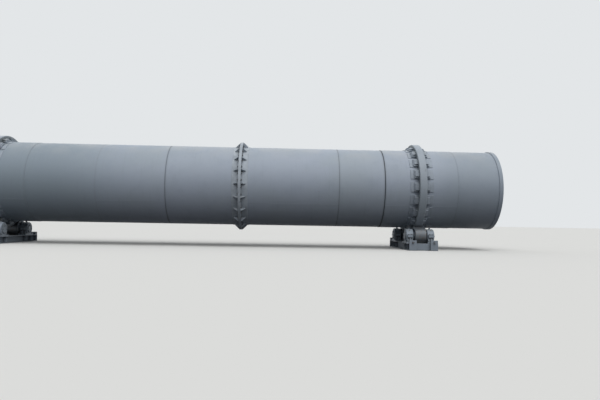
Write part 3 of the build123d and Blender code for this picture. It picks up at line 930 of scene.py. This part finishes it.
FOOT_BOLT_X = 0.070
FOOT_BOLT_Y = 0.232
EAR_BOLT_X = 0.040
EAR_BOLT_Y = 0.212
COVER_SCREWS = 6
COVER_SCREW_CIRCLE = 0.098
SEAL_SCREW_CIRCLE = 0.084
NIPPLE_RADIUS = 0.189
NIPPLE_LEAN = 38.0
FRAME_BEAD = 0.005
FLANGE_WELD_REACH = 0.085


def housings():
    """The middle of each bearing housing's bore, with the way its closed end faces along X."""
    for roller in ROLLERS.values():
        for out in (-1, 1):
            yield roller + Vector((out * BEAM_OFFSET, 0, 0)), out


def four_round(centre, x, y, z):
    """Four points round a centre, at a height."""
    return [Vector((centre.x + i * x, centre.y + j * y, z)) for i in (-1, 1) for j in (-1, 1)]


def station_bolts():
    """Foot bolts through the beams, ear bolts through the caps, cover and seal screws, and the
    lock nuts of the adjusting screws."""
    feet, feet_below, ears, ears_below, small = [], [], [], [], []
    up, down = (0, 0, 1), (0, 0, -1)
    for centre, out in housings():
        for places, way, z in ((feet, up, FOOT_TOP), (feet_below, down, BEAM_HEIGHT - BEAM_FLANGE)):
            places += [(place, way) for place in four_round(centre, FOOT_BOLT_X, FOOT_BOLT_Y, z)]
        for places, way in ((ears, up), (ears_below, down)):
            z = SHAFT_Z + way[2] * EAR_THICKNESS
            places += [(place, way) for place in four_round(centre, EAR_BOLT_X, EAR_BOLT_Y, z)]
        for way, circle, stand in ((out, COVER_SCREW_CIRCLE, HOUSING_HALF + COVER_THICKNESS),
                                   (-out, SEAL_SCREW_CIRCLE, HOUSING_HALF + SEAL_THICKNESS)):
            for index in range(COVER_SCREWS):
                turn = math.radians((index + 0.5) * 360 / COVER_SCREWS)
                spoke = Vector((way * stand, circle * math.sin(turn), circle * math.cos(turn)))
                small.append((centre + spoke, (way, 0, 0)))
    locks = [(Vector((tyre_x + i * BEAM_OFFSET, j * BEAM_HALF, SCREW_Z)), (0, j, 0))
             for tyre_x in TYRE_XS.values() for i in (-1, 1) for j in (-1, 1)]
    rows = (("foot_bolts", HEADS, feet, {"across_flats": M30_FLATS, "height": 0.019}),
            ("foot_bolt_nuts", NUTS, feet_below, {"across_flats": M30_FLATS, "height": 0.022}),
            ("ear_bolts", HEADS, ears, {"across_flats": M24_FLATS, "height": 0.015, "washer": 0.004}),
            ("ear_bolt_nuts", NUTS, ears_below,
             {"across_flats": M24_FLATS, "height": 0.016, "washer": 0.004}),
            ("cover_screws", HEADS, small, {"across_flats": M12_FLATS, "height": 0.008, "washer": 0.002}),
            ("lock_nuts", HEADS, locks, {"across_flats": M30_FLATS, "height": 0.013, "washer": 0.003}))
    for name, tree, places, sizes in rows:
        grow(name, tree, points_mesh(places), BOLT_STEEL, "stations", "screw_steel", **sizes)


def housing_fittings():
    """A lifting eye on top of each cap, and a grease nipple that leans out beside it."""
    eyes, nipples = [], []
    lean = math.radians(NIPPLE_LEAN)
    for centre, _ in housings():
        eyes.append((Vector((centre.x, centre.y, BOSS_TOP)), (0, 0, 1)))
        side = -1 if centre.y < 0 else 1
        way = Vector((0, side * math.sin(lean), math.cos(lean)))
        nipples.append((centre + way * NIPPLE_RADIUS, way))
    grow("lifting_eyes", EYES, points_mesh(eyes), BOLT_STEEL, "stations", "screw_steel")
    grow("grease_nipples", NIPPLES, points_mesh(nipples), BRASS, "stations", "screw_steel")


def frame_welds():
    """The fillets where end plates, stiffeners, channels and brackets meet the beams."""
    paths = []
    low, high = BEAM_FLANGE, BEAM_HEIGHT - BEAM_FLANGE
    face = BEAM_WEB / 2
    faces = [j * (BEAM_HALF - END_PLATE) for j in (-1, 1)]
    for j in (-1, 1):
        for place in (-STIFFENER_OFFSET, STIFFENER_OFFSET):
            faces += [j * ROLLER_Y + place + k * STIFFENER / 2 for k in (-1, 1)]
    for tyre_x in TYRE_XS.values():
        for i in (-1, 1):
            x = tyre_x + i * BEAM_OFFSET
            for y in faces:
                for k in (-1, 1):
                    reach = x + k * FLANGE_WELD_REACH
                    web = x + k * face
                    run = [(reach, y, low), (web, y, low), (web, y, high), (reach, y, high)]
                    paths.append(([Vector(point) for point in run], False))
            for j in (-1, 1):
                for channel in CHANNEL_YS:
                    for y in (channel, channel - CHANNEL_WALL):
                        run = [(x - i * face, j * y, low), (x - i * face, j * y, high)]
                        paths.append(([Vector(point) for point in run], False))
                run = [(x + k * BRACKET_HALF, j * BRACKET_INNER, BEAM_HEIGHT) for k in (-1, 1)]
                paths.append(([Vector(point) for point in run], False))
    grow("base_frame_welds", WELDS, paths_mesh(paths), FRAME_PAINT, "stations", "station_paint",
         bead_radius=FRAME_BEAD)


seam_welds()
joint_welds()
joint_bolts()
tyre_chairs()
chair_welds()
end_ring_welds()
inner_welds()
station_bolts()
housing_fittings()
frame_welds()


# Floor, lights and camera

FLOOR_SIZE = 600.0
FLOOR_SHOWN = "#e8e8e5"
FLOOR_FOR_LIGHT = "#49494c"
BACKDROP = "#e3e6e8"
SKY_LIGHT = 0.24
KEY_LIGHT = 2.1
FILL_LIGHT = 0.4
LAMP_BREADTH = 70.0


def seen(tree):
    """1 for what the camera, a reflection or glass sees, and 0 for light that bounces."""
    path = add(tree, "ShaderNodeLightPath").outputs
    shiny = add(tree, *MAXIMUM, {0: path["Is Glossy Ray"], 1: path["Is Transmission Ray"]})
    return add(tree, *MAXIMUM, {0: path["Is Camera Ray"], 1: shiny})


def floor():
    """A plain pale floor. The light that it throws back up is that of a dark yard."""
    half = FLOOR_SIZE / 2
    mesh = bpy.data.meshes.new("studio_floor")
    mesh.from_pydata([(-half, -half, 0), (half, -half, 0), (half, half, 0), (-half, half, 0)], [],
                     [(0, 1, 2, 3)])
    ground = bpy.data.objects.new("studio_floor", mesh)
    bpy.context.scene.collection.objects.link(ground)
    material, tree, shader, _ = new_material("pale_studio_floor")
    tone = over(tree, colour(FLOOR_FOR_LIGHT), colour(FLOOR_SHOWN), seen(tree))
    connect(tree, shader, {"Base Color": tone, "Roughness": 0.95, "Specular IOR Level": 0.0})
    ground.data.materials.append(material)


def sky():
    """An even dim sky, and a pale backdrop where it is seen."""
    world = bpy.data.worlds.new("pale_sky")
    world.use_nodes = True
    tree = world.node_tree
    tree.nodes.clear()
    light = add(tree, "ShaderNodeBackground", inputs={"Color": colour("#f2f5fa"), "Strength": SKY_LIGHT})
    shown = add(tree, "ShaderNodeBackground", inputs={"Color": colour(BACKDROP), "Strength": 1.0})
    mixed = add(tree, "ShaderNodeMixShader", inputs={0: seen(tree), 1: light, 2: shown})
    add(tree, "ShaderNodeOutputWorld", inputs={"Surface": mixed})
    bpy.context.scene.world = world


def broad_lamp(name, lean, towards_right, strength):
    """A very broad, far lamp that leans from straight overhead towards the camera's side."""
    lamp = bpy.data.lights.new(name, "SUN")
    lamp.energy = strength
    lamp.angle = math.radians(LAMP_BREADTH)
    holder = bpy.data.objects.new(name, lamp)
    bpy.context.scene.collection.objects.link(holder)
    place = Vector((math.tan(math.radians(towards_right)), -math.tan(math.radians(lean)), 1.0))
    holder.rotation_euler = place.to_track_quat("Z", "Y").to_euler()


# The camera is fitted to the photograph, which looks at the drum a little from its left
CAMERA_X = 1.912
CAMERA_DISTANCE = 16.04
CAMERA_BELOW_AXIS = 1.0
CAMERA_YAW = 2.19
CAMERA_PITCH = 2.26
CAMERA_ROLL = 0.99
FOCAL_PIXELS = 560.0
FRAME_WIDTH = 600


def camera():
    """The photograph's viewpoint."""
    lens = bpy.data.cameras.new("photo_camera")
    lens.sensor_width = 36.0
    lens.lens = FOCAL_PIXELS / FRAME_WIDTH * lens.sensor_width
    lens.clip_end = 1000.0
    holder = bpy.data.objects.new("photo_camera", lens)
    bpy.context.scene.collection.objects.link(holder)
    place = Matrix.Translation((CAMERA_X, -CAMERA_DISTANCE, DRUM_Z - CAMERA_BELOW_AXIS))
    yaw = Matrix.Rotation(math.radians(-CAMERA_YAW), 4, "Z")
    pitch = Matrix.Rotation(math.radians(90 + CAMERA_PITCH), 4, "X")
    roll = Matrix.Rotation(math.radians(CAMERA_ROLL), 4, "Z")
    holder.matrix_world = place @ yaw @ pitch @ roll
    bpy.context.scene.camera = holder


floor()
sky()
broad_lamp("key_lamp", lean=30, towards_right=12, strength=KEY_LIGHT)
broad_lamp("fill_lamp", lean=-40, towards_right=-10, strength=FILL_LIGHT)
camera()

bpy.context.scene.view_settings.view_transform = "Standard"
